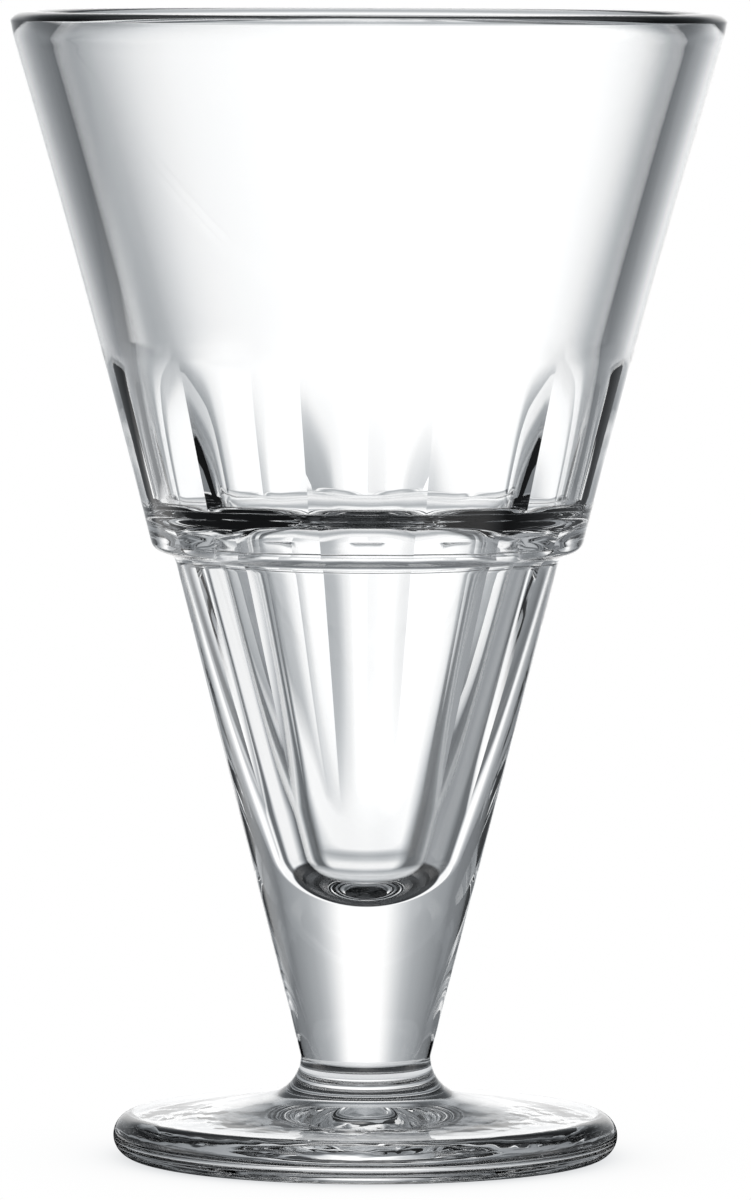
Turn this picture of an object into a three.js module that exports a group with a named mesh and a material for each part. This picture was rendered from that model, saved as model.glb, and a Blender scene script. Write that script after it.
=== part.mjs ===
// Pressed-glass ice cream coupe: a fluted bowl, a solid stem and a round foot, sealed on flat faces.
// Millimetres, +Z up. The glass stands on z = 0 with its axis on Z, and one inside flute faces -Y.
import * as THREE from "three";

// Foot
const FOOT_RADIUS = 37.5;
const FOOT_EDGE = 6.4; // thickness of the foot at its full-round edge
const FOOT_RISE = 2.8; // climb of the foot's top from its edge to the flare
const REST_RING = 3.8; // width of the flat ring that the glass stands on
const FOOT_HOLLOW = 1.8; // depth of the shallow hollow inside the rest ring
const FLARE_RADIUS = 6; // fillet from the foot up to the neck
const FLARE_SWEEP = 76; // degrees of that fillet

// Stem
const NECK_RADIUS = 9.65;
const STEM_HEIGHT = 19.7; // from the neck up to the bowl

// Outside of the bowl
const LOWER_HEIGHT = 54.7; // from the stem up to the inner corner of the ledge
const UPPER_HEIGHT = 80.6; // from that corner up to the rim
const LEDGE_REACH = 3.25; // how far the ledge stands out from the lower cone
const LEDGE_DROP = 1.2; // how far the ledge falls towards the lower cone
const LEDGE_FILLET = 1.1; // ease of the corner under the ledge
const LEDGE_ROUND = 1.2; // ease of the ledge's outer edge
const BELT_RADIUS = 31.85; // at the ledge's outer edge, before it is eased
const RIM_RADIUS = 53.1;
const SIDE_BOW = 0.45; // how far the flaring side hollows in from a straight line
const LIP_HEIGHT = 1.9; // height of the rounded lip

// Inside of the bowl
const WALL = 5.3; // upper wall above the flutes
const LOWER_WALL = 7.6; // wall just under the inside shoulder
const BOWL_FLOOR = 4.2; // glass between the cavity and the stem
const BOTTOM_RADIUS = 9.5; // round bottom of the cavity
const SHOULDER_LIFT = 7.6; // from the outside ledge up to the foot of the inside shoulder
const SHOULDER_HEIGHT = 0.6; // climb of the shoulder from its inner edge out to the upper wall
const SHOULDER_FILLET = 0.4; // ease of the shoulder's upper corner
const SHOULDER_ROUND = 3.4; // ease of the shoulder's inner edge

// Flutes pressed into the inside of the bowl, above and below the shoulder
const FLUTE_COUNT = 11;
const FLANK_START = 0.25; // share of a half flute, from its middle, where the flank to the ridge begins
const FLANK_EVEN = 0.55; // share from which the flank has an even slope
const UPPER_FLUTE_HEIGHT = 23; // from the shoulder up to where the flutes fade out
const UPPER_FLUTE_DEPTH = 1.1;
const UPPER_FLUTE_END = 1; // length of a flute's rounded end at the shoulder
const RIDGE_SET = 0.35; // how far the ridges stand back from the plain wall at the shoulder
const LOWER_FLUTE_HEIGHT = 44; // from the shoulder down to where the flutes fade out
const LOWER_FLUTE_DEPTH = 0.5;
const LOWER_FLUTE_END = 4; // length of a flute's rounded end under the shoulder

// Facets
const COLUMNS_PER_FLUTE = 6;
const COLUMNS = FLUTE_COUNT * COLUMNS_PER_FLUTE;

// Heights of the main levels, stacked from the table up
const flareEnd = FOOT_EDGE + FOOT_RISE;
const neck = flareEnd + FLARE_RADIUS * Math.sin(THREE.MathUtils.degToRad(FLARE_SWEEP));
const bowlBase = neck + STEM_HEIGHT;
const cavityBottom = bowlBase + BOWL_FLOOR;
const ledge = bowlBase + LOWER_HEIGHT;
const belt = ledge + LEDGE_DROP;
const shoulderBottom = ledge + SHOULDER_LIFT;
const shoulderTop = shoulderBottom + SHOULDER_HEIGHT;
const rim = ledge + UPPER_HEIGHT;
const lipBase = rim - LIP_HEIGHT;

// One point of a turned profile. The depth is how far the middle of each flute is hollowed out there.
const at = (radius, height, depth = 0) => ({ radius, height, depth });

// Values from start to end in equal steps, both ends included.
function steps(start, end, count) {
  return Array.from({ length: count + 1 }, (_, i) => start + ((end - start) * i) / count);
}

// Points on an arc, or on an ellipse with its own height, by angle in degrees from the outward direction.
function arc(centre, radius, from, to, count, height = radius) {
  return steps(from, to, count).map((degrees) => {
    const angle = THREE.MathUtils.degToRad(degrees);
    return at(centre.radius + radius * Math.cos(angle), centre.height + height * Math.sin(angle));
  });
}

// The straight cone that runs from the neck to the ledge through stem and bowl.
function coneRadius(height) {
  const top = BELT_RADIUS - LEDGE_REACH;
  return NECK_RADIUS + ((top - NECK_RADIUS) * (height - neck)) / (ledge - neck);
}

// The flaring side above the ledge.
function sideRadius(height) {
  const share = (height - belt) / (lipBase - belt);
  return BELT_RADIUS + (RIM_RADIUS - BELT_RADIUS) * share - 4 * SIDE_BOW * share * (1 - share);
}

// Depth along a flute from its end at the shoulder: it rises over a rounded end, then fades out.
function fluteFade(distance, full, end) {
  const rise = Math.sin((Math.min(distance / end, 1) * Math.PI) / 2);
  return rise * (1 - Math.min(distance / full, 1) ** 2);
}

// Share of the flute depth at an angle round the axis: 1 in the middle of a flute, 0 on a ridge.
function hollow(angle) {
  const half = Math.PI / FLUTE_COUNT;
  const side = Math.abs(THREE.MathUtils.euclideanModulo(angle + half, 2 * half) - half) / half;
  const ease = FLANK_EVEN - FLANK_START;
  const eased = THREE.MathUtils.clamp(side - FLANK_START, 0, ease) ** 2 / (2 * ease);
  const even = Math.max(side - FLANK_EVEN, 0);
  return 1 - (eased + even) / (1 - (FLANK_START + FLANK_EVEN) / 2);
}

// A corner of the profile eased by a curve that starts and ends at a given distance from it.
function rounded(before, corner, after, size, count) {
  const vector = (point) => new THREE.Vector3(point.radius, point.height, point.depth);
  const middle = vector(corner);
  const start = vector(before).sub(middle).setLength(size).add(middle);
  const end = vector(after).sub(middle).setLength(size).add(middle);
  const curve = new THREE.QuadraticBezierCurve3(start, middle, end);
  return curve.getPoints(count).map((point) => at(point.x, point.y, point.z));
}

function bowlOutside() {
  const base = at(coneRadius(bowlBase), bowlBase);
  const inner = at(coneRadius(ledge), ledge);
  const outer = at(BELT_RADIUS, belt);
  const sideBase = at(sideRadius(belt + LEDGE_ROUND), belt + LEDGE_ROUND);
  const edge = rounded(inner, outer, sideBase, LEDGE_ROUND, 4);
  const sideHeights = steps(edge.at(-1).height, lipBase, 9).slice(1, -1);
  return [
    at(0, bowlBase),
    base,
    ...rounded(base, inner, outer, LEDGE_FILLET, 4),
    ...edge,
    ...sideHeights.map((height) => at(sideRadius(height), height)),
  ];
}

function lip() {
  return arc(at(RIM_RADIUS - WALL / 2, lipBase), WALL / 2, 0, 180, 10, LIP_HEIGHT);
}

function upperWall(height) {
  const above = Math.max(height - shoulderTop, 0);
  const setBack = RIDGE_SET * (1 - Math.min(above / UPPER_FLUTE_HEIGHT, 1) ** 2);
  const depth = UPPER_FLUTE_DEPTH * fluteFade(above, UPPER_FLUTE_HEIGHT, UPPER_FLUTE_END);
  return at(sideRadius(height) - WALL + setBack, height, depth);
}

function upperCavity() {
  const fluteTop = shoulderTop + UPPER_FLUTE_HEIGHT;
  const endTop = shoulderTop + UPPER_FLUTE_END;
  const plain = steps(lipBase, fluteTop, 4).slice(1, -1);
  const fluted = steps(fluteTop, endTop, 8).slice(0, -1);
  const ends = steps(endTop, shoulderTop + SHOULDER_FILLET, 3).slice(0, -1);
  return [...plain, ...fluted, ...ends].map(upperWall);
}

// Where the shoulder runs into the lower cavity.
function lowerTop() {
  return at(coneRadius(shoulderBottom) - LOWER_WALL, shoulderBottom);
}

function shoulder() {
  const top = upperWall(shoulderTop);
  const above = upperWall(shoulderTop + SHOULDER_FILLET);
  const below = lowerWall(shoulderBottom - SHOULDER_ROUND);
  return [
    ...rounded(above, top, lowerTop(), SHOULDER_FILLET, 3),
    ...rounded(top, lowerTop(), below, SHOULDER_ROUND, 5),
  ];
}

// Where the cone of the lower cavity runs into the round bottom without a corner.
function bottomTouch() {
  const top = lowerTop();
  const centre = at(0, cavityBottom + BOTTOM_RADIUS);
  const rise = top.height - centre.height;
  const angle = Math.atan2(rise, top.radius) - Math.acos(BOTTOM_RADIUS / Math.hypot(top.radius, rise));
  const point = at(BOTTOM_RADIUS * Math.cos(angle), centre.height + BOTTOM_RADIUS * Math.sin(angle));
  return { centre, point, degrees: THREE.MathUtils.radToDeg(angle) };
}

function lowerWall(height) {
  const top = lowerTop();
  const { point } = bottomTouch();
  const share = (top.height - height) / (top.height - point.height);
  const depth = LOWER_FLUTE_DEPTH * fluteFade(top.height - height, LOWER_FLUTE_HEIGHT, LOWER_FLUTE_END);
  return at(THREE.MathUtils.lerp(top.radius, point.radius, share) - depth, height, depth);
}

function lowerCavity() {
  const { centre, point, degrees } = bottomTouch();
  const endBase = shoulderBottom - LOWER_FLUTE_END;
  const fluted = steps(endBase, point.height, 8).slice(0, -1);
  const bottom = arc(centre, BOTTOM_RADIUS, degrees, -90, 7).slice(0, -1);
  return [...fluted.map(lowerWall), ...bottom, at(0, cavityBottom)];
}

function footProfile() {
  const edge = FOOT_EDGE / 2;
  const hollowRadius = FOOT_RADIUS - edge - REST_RING;
  const underside = steps(0, hollowRadius, 5).map((radius) =>
    at(radius, FOOT_HOLLOW * (1 - (radius / hollowRadius) ** 2)),
  );
  const roundEdge = arc(at(FOOT_RADIUS - edge, edge), edge, -90, 90, 10);
  const flare = arc(at(NECK_RADIUS + FLARE_RADIUS, neck), FLARE_RADIUS, 180 + FLARE_SWEEP, 180, 7);
  const fall = (flareEnd - FOOT_EDGE) * Math.tan(THREE.MathUtils.degToRad(FLARE_SWEEP));
  const top = new THREE.QuadraticBezierCurve(
    new THREE.Vector2(FOOT_RADIUS - edge, FOOT_EDGE),
    new THREE.Vector2(flare[0].radius + fall, FOOT_EDGE),
    new THREE.Vector2(flare[0].radius, flareEnd),
  );
  const topPoints = top.getPoints(6).slice(1, -1).map((point) => at(point.x, point.y));
  return [...underside, ...roundEdge, ...topPoints, ...flare, at(0, neck)];
}

function stemProfile() {
  return [at(0, neck), at(NECK_RADIUS, neck), at(coneRadius(bowlBase), bowlBase), at(0, bowlBase)];
}

// Turns a profile about Z and hollows the flutes out of it.
function turned(name, profile) {
  const outline = profile.map((point) => new THREE.Vector2(point.radius, point.height));
  const geometry = new THREE.LatheGeometry(outline, COLUMNS);
  const position = geometry.getAttribute("position");
  for (let column = 0; column <= COLUMNS; column += 1) {
    const angle = ((column % COLUMNS) * 2 * Math.PI) / COLUMNS;
    profile.forEach((point, row) => {
      const radius = point.radius + point.depth * hollow(angle);
      const vertex = column * profile.length + row;
      position.setXYZ(vertex, radius * Math.sin(angle), -radius * Math.cos(angle), point.height);
    });
  }
  geometry.computeVertexNormals();
  const mesh = new THREE.Mesh(geometry, clearGlass());
  mesh.name = name;
  return mesh;
}

function clearGlass() {
  return new THREE.MeshStandardMaterial({ color: 0xeef2f2, roughness: 0.04, metalness: 0 });
}

const coupe = new THREE.Group();
coupe.name = "ice_cream_coupe";
coupe.add(
  turned("bowl", [...bowlOutside(), ...lip(), ...upperCavity(), ...shoulder(), ...lowerCavity()]),
  turned("stem", stemProfile()),
  turned("foot", footProfile()),
);

export default coupe;
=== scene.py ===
"""Ice cream coupe in clear pressed glass, standing on a white floor in bright-field studio light."""

import math

import bpy
import numpy as np
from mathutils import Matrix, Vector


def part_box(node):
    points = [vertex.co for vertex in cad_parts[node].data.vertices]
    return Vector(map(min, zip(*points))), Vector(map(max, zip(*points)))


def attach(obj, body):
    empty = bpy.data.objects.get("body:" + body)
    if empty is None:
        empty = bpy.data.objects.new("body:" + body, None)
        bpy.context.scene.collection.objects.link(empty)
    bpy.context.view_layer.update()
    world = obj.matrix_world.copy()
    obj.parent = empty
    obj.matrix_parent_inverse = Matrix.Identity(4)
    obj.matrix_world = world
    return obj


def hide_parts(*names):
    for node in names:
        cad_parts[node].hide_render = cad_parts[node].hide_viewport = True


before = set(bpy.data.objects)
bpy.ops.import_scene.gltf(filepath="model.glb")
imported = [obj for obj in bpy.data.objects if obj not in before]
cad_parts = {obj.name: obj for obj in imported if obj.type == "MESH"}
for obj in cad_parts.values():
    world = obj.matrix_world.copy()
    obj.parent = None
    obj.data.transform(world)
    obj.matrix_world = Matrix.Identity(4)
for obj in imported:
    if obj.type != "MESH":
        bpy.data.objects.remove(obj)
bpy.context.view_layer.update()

MM = 0.001

# The glass as in the CAD source: lengths in millimetres, and shares of a flute's half width
FOOT_RADIUS = 37.5
FOOT_EDGE = 6.4
REST_RING = 3.8
FOOT_HOLLOW = 1.8
FLARE_RADIUS = 6.0
FLARE_SWEEP = math.radians(76)
NECK_RADIUS = 9.65
LOWER_HEIGHT = 54.7
LEDGE_REACH = 3.25
LEDGE_DROP = 1.2
LEDGE_FILLET = 1.1
LEDGE_ROUND = 1.2
BELT_RADIUS = 31.85
RIM_RADIUS = 53.1
SIDE_BOW = 0.45
LIP_HEIGHT = 1.9
WALL = 5.3
LOWER_WALL = 7.6
BOWL_FLOOR = 4.2
BOTTOM_RADIUS = 9.5
SHOULDER_LIFT = 7.6
SHOULDER_HEIGHT = 0.6
SHOULDER_FILLET = 0.4
SHOULDER_ROUND = 3.4
FLUTE_COUNT = 11
FLANK_START = 0.25
FLANK_EVEN = 0.55
UPPER_FLUTE_HEIGHT = 23.0
UPPER_FLUTE_DEPTH = 1.1
UPPER_FLUTE_END = 1.0
RIDGE_SET = 0.35
LOWER_FLUTE_HEIGHT = 44.0
LOWER_FLUTE_DEPTH = 0.5
LOWER_FLUTE_END = 4.0

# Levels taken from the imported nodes
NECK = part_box("foot")[1].z / MM
BOWL_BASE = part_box("stem")[1].z / MM
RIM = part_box("bowl")[1].z / MM
LEDGE = BOWL_BASE + LOWER_HEIGHT
BELT = LEDGE + LEDGE_DROP
SHOULDER_BOTTOM = LEDGE + SHOULDER_LIFT
SHOULDER_TOP = SHOULDER_BOTTOM + SHOULDER_HEIGHT
LIP_BASE = RIM - LIP_HEIGHT
CAVITY_BOTTOM = BOWL_BASE + BOWL_FLOOR

# Where the arc of the lip starts, in degrees above the outward direction
LIP_START = 16

# How finely each stretch of the profiles is divided
CONE_POINTS = 30
SIDE_POINTS = 40
PLAIN_POINTS = 24
FLUTED_POINTS = 36
FLUTE_END_POINTS = 12
LOWER_POINTS = 60
UNDERSIDE_POINTS = 24
FOOT_TOP_POINTS = 26
STEM_POINTS = 16
FILLET_STEPS = 10
LEDGE_STEPS = 12
SHOULDER_STEPS = 20
LIP_STEPS = 28
BOTTOM_STEPS = 24
EDGE_STEPS = 32
FLARE_STEPS = 24
COLUMNS_PER_FLUTE = 24
COLUMNS = FLUTE_COUNT * COLUMNS_PER_FLUTE

# Glass surface: the tint, and the waves and ripples with their depths in metres
WHITE = (1.0, 1.0, 1.0, 1.0)
GLASS_IOR = 1.52
GLASS_TINTS = ((0.985, 0.992, 0.995, 1.0), WHITE)
WAVE_SCALE = 45.0
WAVE_DETAIL = 2
WAVE_DEPTH = 0.00001
CHILL_SCALE = 5.0
CHILL_DETAIL = 1
CHILL_CLOSE = 60.0
CHILL_DEPTH = 0.00012
CHILL_STOPS = ((0, 0.0), (0.018, 0.0), (0.024, 1.0), (0.03, 1.0), (0.034, 0.0), (FOOT_RADIUS * MM, 0.0))

# Camera, in metres
CAMERA_DISTANCE = 1.528
CAMERA_HEIGHT = 0.1881
CAMERA_SIDE = 0.00089
AIM_HEIGHT = 0.0829
VIEW_HEIGHT = 0.178
CAMERA_ROLL = math.radians(-0.194)
CAMERA_REACH = 100.0
SENSOR = 36.0

# Floor: sizes and brightness by distance from the axis in metres, and brightness by angle in degrees.
# The strip is a dimmer part behind the glass. The echo is what light sees after a reflection in the glass.
FLOOR_RADIUS = 1.0
FLOOR_GAP = 0.00005
FLOOR_CORNERS = 96
# Painted light: to the glass the floor glows, dark within about 45 mm of the axis as a painted shadow of
# the glass, white further out.
FLOOR_STOPS = ((0, 0.0), (0.045, 0.0), (0.092, 1.0), (FLOOR_RADIUS, 1.0))
FLOOR_SIDE_STOPS = (
    (-180, 0.2), (-75, 0.15), (-60, 0.95), (-40, 0.95), (-32, 0.15), (-24, 0.15), (-18, 1.05), (13, 1.05),
    (20, 0.15), (32, 0.15), (45, 0.35), (70, 0.35), (105, 0.15), (118, 0.9), (152, 0.9), (165, 0.2),
    (180, 0.2),
)
# Painted shade: a dimmer band of the glowing floor behind the glass, about 0.13 to 0.37 m out.
STRIP_STOPS = (
    (0, 1.0), (0.13, 1.0), (0.2, 0.6), (0.25, 0.45), (0.3, 0.6), (0.37, 1.0), (FLOOR_RADIUS, 1.0),
)
STRIP_SIDE_STOPS = ((0, 0.0), (22, 0.0), (28, 1.0), (180, 1.0))
# Painted light under the foot: pale, with a darker painted shadow under the stem.
FOOT_FLOOR_STOPS = (
    (0, 0.25), (0.016, 0.25), (0.025, 0.8), (0.045, 0.8), (0.09, 0.1), (FLOOR_RADIUS, 0.0),
)
# Painted shade too: after a reflection the glass sees the floor dark within about 80 mm of the axis.
ECHO_STOPS = ((0, 0.03), (0.078, 0.03), (0.092, 1.0), (FLOOR_RADIUS, 1.0))
FLOOR_END_STOPS = ((0, 1.0), (0.45, 1.0), (0.55, 0.0), (FLOOR_RADIUS, 0.0))
SHADOW_REACH = 0.03
SHADOW_DEPTH = 0.75
SHADOW_SAMPLES = 16

# Surroundings: brightness by angle in degrees. PANEL_WIDTH off its middle, a panel is about half as bright.
# PANEL_STOPS go by shares of that width.
PANEL_SIDE = 2.8
PANEL_LEAN = 0.16
PANEL_WIDTH = 16.5
PANEL_SPREAD = 0.25
PANEL_STOPS = (
    (0, 1.17), (0.3, 1.15), (0.5, 1.03), (0.65, 0.88), (0.8, 0.72), (1.0, 0.54), (1.25, 0.42), (1.7, 0.32),
    (2.5, 0.2), (4, 0.12), (12, 0.09),
)
PANEL_TURN = 90.0
HEIGHT_STOPS = (
    (-90, 0.2), (-45, 0.25), (-30, 0.3), (-18, 0.4), (-14, 0.6), (-10, 1.0), (14, 1.0), (18, 0.6),
    (22, 0.25), (30, 0.12), (90, 0.1),
)
OVERHEAD_STOPS = ((-90, 0.0), (36, 0.0), (46, 0.35), (90, 0.35))
OVERHEAD_SIDE_STOPS = ((0, 1.0), (30, 1.0), (50, 0.2), (110, 0.2), (140, 1.0), (180, 1.0))
CORNER_STOPS = ((-90, 0.0), (-40, 0.0), (-30, 0.85), (-8, 0.85), (0, 0.0), (90, 0.0))
CORNER_SIDE_STOPS = ((-180, 0.0), (105, 0.0), (118, 1.0), (152, 1.0), (165, 0.0), (180, 0.0))
FRONT_STOPS = ((-90, 0.0), (12, 0.0), (20, 0.3), (38, 0.3), (52, 0.0), (90, 0.0))
FRONT_SIDE_STOPS = ((0, 0.0), (70, 0.0), (100, 1.0), (180, 1.0))
ROOM_LIGHT = 0.04
DIM_TINT = (0.86, 0.93, 1.0, 1.0)

# How often light may be bent or reflected. What stays in the glass longer is lost, as in the dark belt.
MAX_BOUNCES = 24
REFLECTIONS = 6
CLEAR_FACES = 16


def cone_radius(height):
    """Outside of the straight cone from the neck to the ledge."""
    top = BELT_RADIUS - LEDGE_REACH
    return NECK_RADIUS + (top - NECK_RADIUS) * (height - NECK) / (LEDGE - NECK)


def side_radius(height):
    """Outside of the flaring bowl above the ledge."""
    share = (height - BELT) / (LIP_BASE - BELT)
    return BELT_RADIUS + (RIM_RADIUS - BELT_RADIUS) * share - 4 * SIDE_BOW * share * (1 - share)


def flute_fade(distance, full, end):
    """Depth along a flute from its end at the shoulder: it rises over a rounded end, then fades out."""
    rise = math.sin(min(distance / end, 1) * math.pi / 2)
    return rise * (1 - min(distance / full, 1) ** 2)


def arc(radius, height, size, start, end, count, tall=None):
    """Profile points on an arc, or on an ellipse where tall is given, by angle in degrees from outwards."""
    angles = np.radians(np.linspace(start, end, count + 1))
    tall = size if tall is None else tall
    return [(radius + size * math.cos(a), height + tall * math.sin(a), 0.0) for a in angles]


def eased(start, corner, end, shares):
    """Points of a curve that leaves one point towards a corner and arrives at another."""
    return [start * (1 - t) ** 2 + 2 * corner * t * (1 - t) + end * t ** 2 for t in shares]


def rounded(before, corner, after, size, count):
    """A corner of the profile eased by a curve."""
    before, corner, after = (np.array(point) for point in (before, corner, after))
    start = corner + (before - corner) * size / np.linalg.norm(before - corner)
    end = corner + (after - corner) * size / np.linalg.norm(after - corner)
    return [tuple(point) for point in eased(start, corner, end, np.linspace(0, 1, count + 1))]


def bowl_outside():
    base = (cone_radius(BOWL_BASE), BOWL_BASE, 0.0)
    inner = (cone_radius(LEDGE), LEDGE, 0.0)
    outer = (BELT_RADIUS, BELT, 0.0)
    side_base = BELT + LEDGE_ROUND
    fillet = rounded(base, inner, outer, LEDGE_FILLET, FILLET_STEPS)
    ledge = rounded(inner, outer, (side_radius(side_base), side_base, 0.0), LEDGE_ROUND, LEDGE_STEPS)
    cone = [(cone_radius(z), z, 0.0) for z in np.linspace(BOWL_BASE, fillet[0][1], CONE_POINTS)[:-1]]
    side = [(side_radius(z), z, 0.0) for z in np.linspace(ledge[-1][1], LIP_BASE, SIDE_POINTS)[1:-1]]
    return cone + fillet + ledge + side


def lip():
    return arc(RIM_RADIUS - WALL / 2, LIP_BASE, WALL / 2, LIP_START, 180, LIP_STEPS, LIP_HEIGHT)


def upper_wall(height):
    above = max(height - SHOULDER_TOP, 0)
    set_back = RIDGE_SET * (1 - min(above / UPPER_FLUTE_HEIGHT, 1) ** 2)
    depth = UPPER_FLUTE_DEPTH * flute_fade(above, UPPER_FLUTE_HEIGHT, UPPER_FLUTE_END)
    return (side_radius(height) - WALL + set_back, height, depth)


def upper_cavity():
    flute_top = SHOULDER_TOP + UPPER_FLUTE_HEIGHT
    flute_base = SHOULDER_TOP + SHOULDER_FILLET
    end_top = SHOULDER_TOP + UPPER_FLUTE_END
    plain = np.linspace(LIP_BASE, flute_top, PLAIN_POINTS)[1:-1]
    fluted = np.linspace(flute_top, end_top, FLUTED_POINTS)[:-1]
    ends = np.linspace(end_top, flute_base, FLUTE_END_POINTS)[:-1]
    return [upper_wall(z) for z in (*plain, *fluted, *ends)]


def lower_top():
    """Where the shoulder runs into the lower cavity."""
    return (cone_radius(SHOULDER_BOTTOM) - LOWER_WALL, SHOULDER_BOTTOM, 0.0)


def shoulder():
    top = upper_wall(SHOULDER_TOP)
    bottom = lower_top()
    above = upper_wall(SHOULDER_TOP + SHOULDER_FILLET)
    below = lower_wall(SHOULDER_BOTTOM - SHOULDER_ROUND)
    inner = rounded(above, top, bottom, SHOULDER_FILLET, FILLET_STEPS)
    edge = rounded(top, bottom, below, SHOULDER_ROUND, SHOULDER_STEPS)
    return inner + edge


def bottom_touch():
    """Where the cone of the lower cavity runs into the round bottom without a corner."""
    top = lower_top()[0]
    centre = CAVITY_BOTTOM + BOTTOM_RADIUS
    reach = math.hypot(top, SHOULDER_BOTTOM - centre)
    angle = math.atan2(SHOULDER_BOTTOM - centre, top) - math.acos(BOTTOM_RADIUS / reach)
    return BOTTOM_RADIUS * math.cos(angle), centre + BOTTOM_RADIUS * math.sin(angle), math.degrees(angle)


def lower_wall(height):
    top = lower_top()[0]
    touch_radius, touch_height, _ = bottom_touch()
    share = (SHOULDER_BOTTOM - height) / (SHOULDER_BOTTOM - touch_height)
    depth = LOWER_FLUTE_DEPTH * flute_fade(SHOULDER_BOTTOM - height, LOWER_FLUTE_HEIGHT, LOWER_FLUTE_END)
    return (top + (touch_radius - top) * share - depth, height, depth)


def lower_cavity():
    _, touch_height, touch_angle = bottom_touch()
    end_base = SHOULDER_BOTTOM - LOWER_FLUTE_END
    wall = [lower_wall(z) for z in np.linspace(end_base, touch_height, LOWER_POINTS)[:-1]]
    bottom = arc(0, CAVITY_BOTTOM + BOTTOM_RADIUS, BOTTOM_RADIUS, touch_angle, -90, BOTTOM_STEPS)
    return wall + bottom[:-1] + [(0.0, CAVITY_BOTTOM, 0.0)]


def bowl_profile():
    return [(0.0, BOWL_BASE, 0.0)] + bowl_outside() + lip() + upper_cavity() + shoulder() + lower_cavity()


def stem_profile():
    side = [(cone_radius(z), z, 0.0) for z in np.linspace(NECK, BOWL_BASE, STEM_POINTS)]
    return [(0.0, NECK, 0.0)] + side + [(0.0, BOWL_BASE, 0.0)]


def foot_profile():
    edge = FOOT_EDGE / 2
    hollow = FOOT_RADIUS - edge - REST_RING
    radii = np.linspace(0, hollow, UNDERSIDE_POINTS)
    under = [(r, FOOT_HOLLOW * (1 - (r / hollow) ** 2), 0.0) for r in radii]
    round_edge = arc(FOOT_RADIUS - edge, edge, edge, -90, 90, EDGE_STEPS)
    flare_start = 180 + math.degrees(FLARE_SWEEP)
    flare = arc(NECK_RADIUS + FLARE_RADIUS, NECK, FLARE_RADIUS, flare_start, 180, FLARE_STEPS)
    start = np.array((FOOT_RADIUS - edge, FOOT_EDGE, 0.0))
    end = np.array(flare[0])
    bend = np.array((end[0] + (end[1] - FOOT_EDGE) * math.tan(FLARE_SWEEP), FOOT_EDGE, 0.0))
    top = [tuple(point) for point in eased(start, bend, end, np.linspace(0, 1, FOOT_TOP_POINTS)[1:-1])]
    return under + round_edge + top + flare + [(0.0, NECK, 0.0)]


def flute_shape():
    """Each column's angle and share of the flute depth: 1 in the middle of a flute, 0 on a ridge."""
    angle = np.arange(COLUMNS) * 2 * math.pi / COLUMNS
    half = math.pi / FLUTE_COUNT
    from_middle = np.mod(angle + half, 2 * half) - half
    side = np.abs(from_middle) / half
    ease = np.clip(side - FLANK_START, 0, FLANK_EVEN - FLANK_START)
    climb = ease ** 2 / (2 * (FLANK_EVEN - FLANK_START)) + np.maximum(side - FLANK_EVEN, 0)
    return angle, 1 - climb / (1 - (FLANK_START + FLANK_EVEN) / 2)


def turned_mesh(name, profile):
    """A closed mesh: rings of points about the axis, closed by a fan of triangles at each end."""
    angle, hollow = flute_shape()
    rings = profile[1:-1]
    verts = [(0.0, 0.0, profile[0][1] * MM)]
    for radius, height, depth in rings:
        r = (radius + depth * hollow) * MM
        verts += list(zip(r * np.sin(angle), -r * np.cos(angle), np.full(COLUMNS, height * MM)))
    verts.append((0.0, 0.0, profile[-1][1] * MM))
    last = len(verts) - 1
    following = [(c + 1) % COLUMNS for c in range(COLUMNS)]
    ring = [1 + COLUMNS * i for i in range(len(rings))]
    faces = [(0, ring[0] + following[c], ring[0] + c) for c in range(COLUMNS)]
    for low, high in zip(ring, ring[1:]):
        faces += [(low + c, low + following[c], high + following[c], high + c) for c in range(COLUMNS)]
    faces += [(ring[-1] + c, ring[-1] + following[c], last) for c in range(COLUMNS)]
    mesh = bpy.data.meshes.new(name)
    mesh.from_pydata(verts, [], faces)
    return mesh


def dress(mesh, glass, welds):
    """Glass all over, apart from the first and last discs where they are sealed to the next piece."""
    count = len(mesh.polygons)
    mesh.materials.append(glass)
    mesh.materials.append(SEALED)
    slots = np.zeros(count, dtype=np.int32)
    slots[:COLUMNS] = int(welds[0])
    slots[-COLUMNS:] = int(welds[1])
    mesh.polygons.foreach_set("material_index", slots)
    mesh.polygons.foreach_set("use_smooth", np.ones(count, dtype=bool))


def mark_sharp(mesh, rings, welds):
    """Creases: the ridges between flutes, and the rim of each sealed face."""
    half = COLUMNS_PER_FLUTE // 2
    depths = [depth for _, _, depth in rings]
    sharp_rings = {0} if welds[0] else set()
    if welds[1]:
        sharp_rings.add(len(rings) - 1)
    crease = mesh.attributes.new("sharp_edge", "BOOLEAN", "EDGE")
    pairs = np.zeros(len(mesh.edges) * 2, dtype=np.int32)
    mesh.edges.foreach_get("vertices", pairs)
    flags = np.zeros(len(mesh.edges), dtype=bool)
    for index, (a, b) in enumerate(pairs.reshape(-1, 2)):
        row_a, column_a = divmod(a - 1, COLUMNS)
        row_b, column_b = divmod(b - 1, COLUMNS)
        if min(a, b) == 0 or max(row_a, row_b) >= len(rings):
            continue
        if row_a == row_b:
            flags[index] = row_a in sharp_rings
        elif column_a == column_b and column_a % COLUMNS_PER_FLUTE == half:
            flags[index] = depths[row_a] > 0 and depths[row_b] > 0
    crease.data.foreach_set("value", flags)


def turned(name, node, profile, glass, welds):
    """A turned piece in place of a CAD node. welds says if its first and last discs are sealed faces."""
    mesh = turned_mesh(name, profile)
    dress(mesh, glass, welds)
    mark_sharp(mesh, profile[1:-1], welds)
    mesh.update()
    piece = bpy.data.objects.new(name, mesh)
    bpy.context.scene.collection.objects.link(piece)
    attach(piece, "root")
    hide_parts(node)


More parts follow.
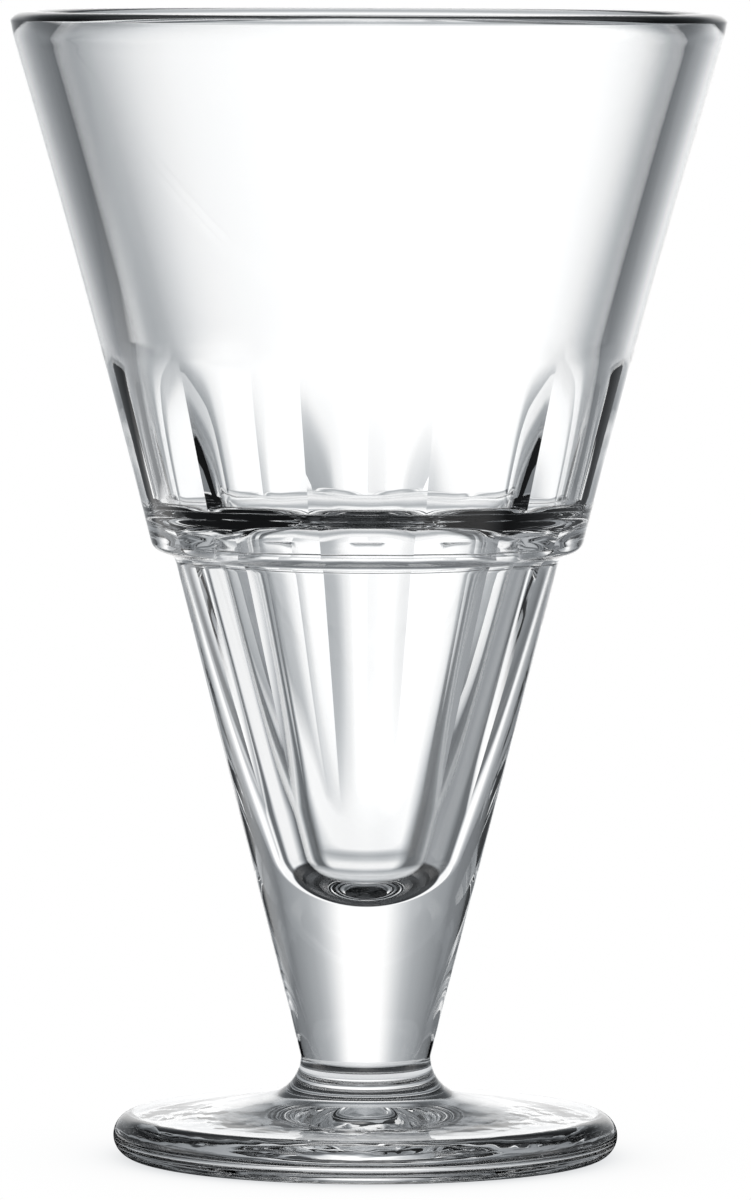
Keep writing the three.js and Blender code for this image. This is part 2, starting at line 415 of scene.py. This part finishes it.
def new_material(name):
    material = bpy.data.materials.new(name)
    material.use_nodes = True
    material.node_tree.nodes.clear()
    return material, material.node_tree


def add(tree, kind, **settings):
    node = tree.nodes.new(kind)
    for key, value in settings.items():
        setattr(node, key, value)
    return node


def math_node(tree, operation, *sources):
    node = add(tree, "ShaderNodeMath", operation=operation)
    for socket, source in zip(node.inputs, sources):
        if isinstance(source, (int, float)):
            socket.default_value = source
        else:
            tree.links.new(source, socket)
    return node.outputs[0]


def vector_node(tree, operation, source):
    node = add(tree, "ShaderNodeVectorMath", operation=operation)
    tree.links.new(source, node.inputs[0])
    return node


def separate(tree, vector):
    node = add(tree, "ShaderNodeSeparateXYZ")
    tree.links.new(vector, node.inputs[0])
    return node.outputs


def azimuth_of(tree, axes):
    """Angle round the axis in degrees: 0 behind the glass, positive to the right."""
    return math_node(tree, "DEGREES", math_node(tree, "ARCTAN2", axes["X"], axes["Y"]))


def choose(tree, factor, low, high):
    """Goes from low to high with the factor. high is a socket or a number."""
    node = add(tree, "ShaderNodeMix", data_type="FLOAT")
    tree.links.new(factor, node.inputs["Factor"])
    tree.links.new(low, node.inputs["A"])
    if isinstance(high, float):
        node.inputs["B"].default_value = high
    else:
        tree.links.new(high, node.inputs["B"])
    return node.outputs["Result"]


def two_colours(tree, source, colours):
    node = add(tree, "ShaderNodeValToRGB")
    for element, colour in zip(node.color_ramp.elements, colours):
        element.color = colour
    tree.links.new(source, node.inputs["Fac"])
    return node.outputs["Color"]


def ramp(tree, source, stops):
    """A colour ramp over stops of (value, grey), from the first value to the last."""
    low = stops[0][0]
    high = stops[-1][0]
    span = add(tree, "ShaderNodeMapRange")
    span.inputs["From Min"].default_value = low
    span.inputs["From Max"].default_value = high
    tree.links.new(source, span.inputs["Value"])
    colours = add(tree, "ShaderNodeValToRGB")
    elements = colours.color_ramp.elements
    while len(elements) < len(stops):
        elements.new(0.5)
    for element, (value, grey) in zip(elements, stops):
        element.position = (value - low) / (high - low)
        element.color = (grey, grey, grey, 1.0)
    tree.links.new(span.outputs["Result"], colours.inputs["Fac"])
    return colours.outputs["Color"]


def noise(tree, vector, scale, detail):
    texture = add(tree, "ShaderNodeTexNoise")
    texture.inputs["Scale"].default_value = scale
    texture.inputs["Detail"].default_value = detail
    tree.links.new(vector, texture.inputs["Vector"])
    return texture.outputs["Fac"]


def bump(tree, height, depth, under=None):
    node = add(tree, "ShaderNodeBump")
    node.inputs["Distance"].default_value = depth
    tree.links.new(height, node.inputs["Height"])
    if under is not None:
        tree.links.new(under, node.inputs["Normal"])
    return node.outputs["Normal"]


def chill_ripples(tree, place):
    """Wavy rings around the outer part of the foot."""
    flat = vector_node(tree, "MULTIPLY", place)
    flat.inputs[1].default_value = (1.0, 1.0, 0.0)
    radius = vector_node(tree, "LENGTH", flat.outputs["Vector"]).outputs["Value"]
    turn = separate(tree, vector_node(tree, "NORMALIZE", flat.outputs["Vector"]).outputs["Vector"])
    rings = add(tree, "ShaderNodeCombineXYZ")
    tree.links.new(turn["X"], rings.inputs["X"])
    tree.links.new(turn["Y"], rings.inputs["Y"])
    tree.links.new(math_node(tree, "MULTIPLY", radius, CHILL_CLOSE), rings.inputs["Z"])
    ripples = noise(tree, rings.outputs["Vector"], CHILL_SCALE, CHILL_DETAIL)
    return math_node(tree, "MULTIPLY", ripples, ramp(tree, radius, CHILL_STOPS))


def clear_glass(name, chilled):
    """Pressed glass: clear, with the faint unevenness of a mould. Chilled glass has fine ripples too."""
    material, tree = new_material(name)
    out = add(tree, "ShaderNodeOutputMaterial")
    shader = add(tree, "ShaderNodeBsdfPrincipled")
    place = add(tree, "ShaderNodeTexCoord").outputs["Object"]
    waves = noise(tree, place, WAVE_SCALE, WAVE_DETAIL)
    tree.links.new(two_colours(tree, waves, GLASS_TINTS), shader.inputs["Base Color"])
    shader.inputs["Roughness"].default_value = 0.0
    shader.inputs["IOR"].default_value = GLASS_IOR
    shader.inputs["Transmission Weight"].default_value = 1.0
    surface = bump(tree, waves, WAVE_DEPTH)
    if chilled:
        surface = bump(tree, chill_ripples(tree, place), CHILL_DEPTH, surface)
    tree.links.new(surface, shader.inputs["Normal"])
    tree.links.new(shader.outputs[0], out.inputs["Surface"])
    return material


def sealed_face():
    """The hidden face where two pieces are fused: light passes straight on."""
    material, tree = new_material("sealed_face")
    out = add(tree, "ShaderNodeOutputMaterial")
    shader = add(tree, "ShaderNodeBsdfTransparent")
    tree.links.new(shader.outputs[0], out.inputs["Surface"])
    return material


def quarter_turn(tree, azimuth):
    """The angle from the nearest of four directions, so each side of the glass has a panel behind it."""
    half = PANEL_TURN / 2
    shifted = math_node(tree, "ADD", azimuth, 4 * PANEL_TURN + half)
    return math_node(tree, "SUBTRACT", math_node(tree, "MODULO", shifted, PANEL_TURN), half)


def panel_light(tree, azimuth, height):
    """The bright panels. They shift a little to one side and widen with height."""
    middle = math_node(tree, "MULTIPLY_ADD", height, -PANEL_LEAN, PANEL_SIDE)
    off = math_node(tree, "ABSOLUTE", math_node(tree, "SUBTRACT", quarter_turn(tree, azimuth), middle))
    width = math_node(tree, "MULTIPLY_ADD", height, PANEL_SPREAD, PANEL_WIDTH)
    away = math_node(tree, "DIVIDE", off, math_node(tree, "MAXIMUM", width, PANEL_WIDTH / 2))
    return math_node(tree, "MULTIPLY", ramp(tree, away, PANEL_STOPS), ramp(tree, height, HEIGHT_STOPS))


def room_tint(tree, brightness):
    """The dim parts of the room are a little bluer than its white panels."""
    return two_colours(tree, brightness, (DIM_TINT, WHITE))


def room_light(tree, direction):
    """Panels, a soft light from above, one from the front and one low in a back corner, in a dim room."""
    axes = separate(tree, direction)
    azimuth = azimuth_of(tree, axes)
    side = math_node(tree, "ABSOLUTE", azimuth)
    height = math_node(tree, "DEGREES", math_node(tree, "ARCSINE", axes["Z"]))
    lights = (
        (FRONT_STOPS, side, FRONT_SIDE_STOPS),
        (OVERHEAD_STOPS, side, OVERHEAD_SIDE_STOPS),
        (CORNER_STOPS, azimuth, CORNER_SIDE_STOPS),
    )
    glow = math_node(tree, "ADD", panel_light(tree, azimuth, height), ROOM_LIGHT)
    for heights, angle, sides in lights:
        light = math_node(tree, "MULTIPLY", ramp(tree, height, heights), ramp(tree, angle, sides))
        glow = math_node(tree, "ADD", glow, light)
    return glow


def studio_world():
    """White to the camera. The glass sees the lit room."""
    world = bpy.data.worlds.new("studio")
    bpy.context.scene.world = world
    world.use_nodes = True
    tree = world.node_tree
    tree.nodes.clear()
    out = add(tree, "ShaderNodeOutputWorld")
    light = add(tree, "ShaderNodeBackground")
    path = add(tree, "ShaderNodeLightPath")
    glow = room_light(tree, add(tree, "ShaderNodeTexCoord").outputs["Generated"])
    seen = choose(tree, path.outputs["Is Camera Ray"], glow, 1.0)
    tree.links.new(room_tint(tree, seen), light.inputs["Color"])
    tree.links.new(seen, light.inputs["Strength"])
    tree.links.new(light.outputs[0], out.inputs["Surface"])


# Painted light: the floor glows in this pattern for the glass, with painted shadow close to the glass.
def floor_light(tree, path, place, away):
    """What the glass shows of the floor: white behind it, dim at the sides, dark after a reflection."""
    azimuth = azimuth_of(tree, separate(tree, place))
    around = ramp(tree, azimuth, FLOOR_SIDE_STOPS)
    aside = ramp(tree, math_node(tree, "ABSOLUTE", azimuth), STRIP_SIDE_STOPS)
    strip = math_node(tree, "MAXIMUM", ramp(tree, away, STRIP_STOPS), aside)
    lit = math_node(tree, "MULTIPLY", ramp(tree, away, FLOOR_STOPS), around)
    open_floor = math_node(tree, "MULTIPLY", lit, strip)
    straight = math_node(tree, "MAXIMUM", open_floor, ramp(tree, away, FOOT_FLOOR_STOPS))
    echo = math_node(tree, "MULTIPLY", ramp(tree, away, ECHO_STOPS), around)
    reflected = math_node(tree, "GREATER_THAN", path.outputs["Glossy Depth"], 0.5)
    return choose(tree, reflected, straight, echo)


# Painted shadow: ambient occlusion darkens the glowing white floor near the glass, as the camera sees it.
def contact_shadow(tree):
    shade = add(tree, "ShaderNodeAmbientOcclusion", samples=SHADOW_SAMPLES)
    shade.inputs["Distance"].default_value = SHADOW_REACH
    contact = add(tree, "ShaderNodeMapRange")
    contact.inputs["To Min"].default_value = SHADOW_DEPTH
    tree.links.new(shade.outputs["AO"], contact.inputs["Value"])
    return contact.outputs["Result"]


def floor_material():
    """White with a soft shadow to the camera. Far out the glass doesn't see it, and shows the room."""
    material, tree = new_material("floor")
    out = add(tree, "ShaderNodeOutputMaterial")
    path = add(tree, "ShaderNodeLightPath")
    camera_ray = path.outputs["Is Camera Ray"]
    place = add(tree, "ShaderNodeTexCoord").outputs["Object"]
    away = vector_node(tree, "LENGTH", place).outputs["Value"]
    seen = choose(tree, camera_ray, floor_light(tree, path, place, away), contact_shadow(tree))
    glow = add(tree, "ShaderNodeEmission")
    tree.links.new(seen, glow.inputs["Strength"])
    tree.links.new(room_tint(tree, seen), glow.inputs["Color"])
    clear = add(tree, "ShaderNodeBsdfTransparent")
    mix = add(tree, "ShaderNodeMixShader")
    near = ramp(tree, away, FLOOR_END_STOPS)
    tree.links.new(math_node(tree, "MAXIMUM", camera_ray, near), mix.inputs["Fac"])
    tree.links.new(clear.outputs[0], mix.inputs[1])
    tree.links.new(glow.outputs[0], mix.inputs[2])
    tree.links.new(mix.outputs[0], out.inputs["Surface"])
    return material


def floor():
    """A pale disc just under the glass."""
    bpy.ops.mesh.primitive_circle_add(vertices=FLOOR_CORNERS, radius=FLOOR_RADIUS, fill_type="NGON")
    disc = bpy.context.object
    disc.name = "floor"
    disc.location.z = -FLOOR_GAP
    disc.data.materials.append(floor_material())


def camera():
    data = bpy.data.cameras.new("camera")
    view = bpy.data.objects.new("camera", data)
    bpy.context.scene.collection.objects.link(view)
    drop = CAMERA_HEIGHT - AIM_HEIGHT
    view.location = (CAMERA_SIDE, -CAMERA_DISTANCE, CAMERA_HEIGHT)
    view.rotation_euler = (math.pi / 2 - math.atan2(drop, CAMERA_DISTANCE), CAMERA_ROLL, 0.0)
    data.sensor_width = SENSOR
    data.lens = SENSOR * math.hypot(CAMERA_DISTANCE, drop) / VIEW_HEIGHT
    data.clip_end = CAMERA_REACH
    bpy.context.scene.camera = view


def render_settings():
    scene = bpy.context.scene
    scene.view_settings.view_transform = "Standard"
    scene.cycles.max_bounces = MAX_BOUNCES
    scene.cycles.transmission_bounces = MAX_BOUNCES
    scene.cycles.glossy_bounces = REFLECTIONS
    scene.cycles.transparent_max_bounces = CLEAR_FACES


GLASS = clear_glass("clear_glass", False)
FOOT_GLASS = clear_glass("foot_glass", True)
SEALED = sealed_face()
turned("bowl_glass", "bowl", bowl_profile(), GLASS, (True, False))
turned("stem_glass", "stem", stem_profile(), GLASS, (True, True))
turned("foot_glass", "foot", foot_profile(), FOOT_GLASS, (False, True))
floor()
studio_world()
camera()
render_settings()
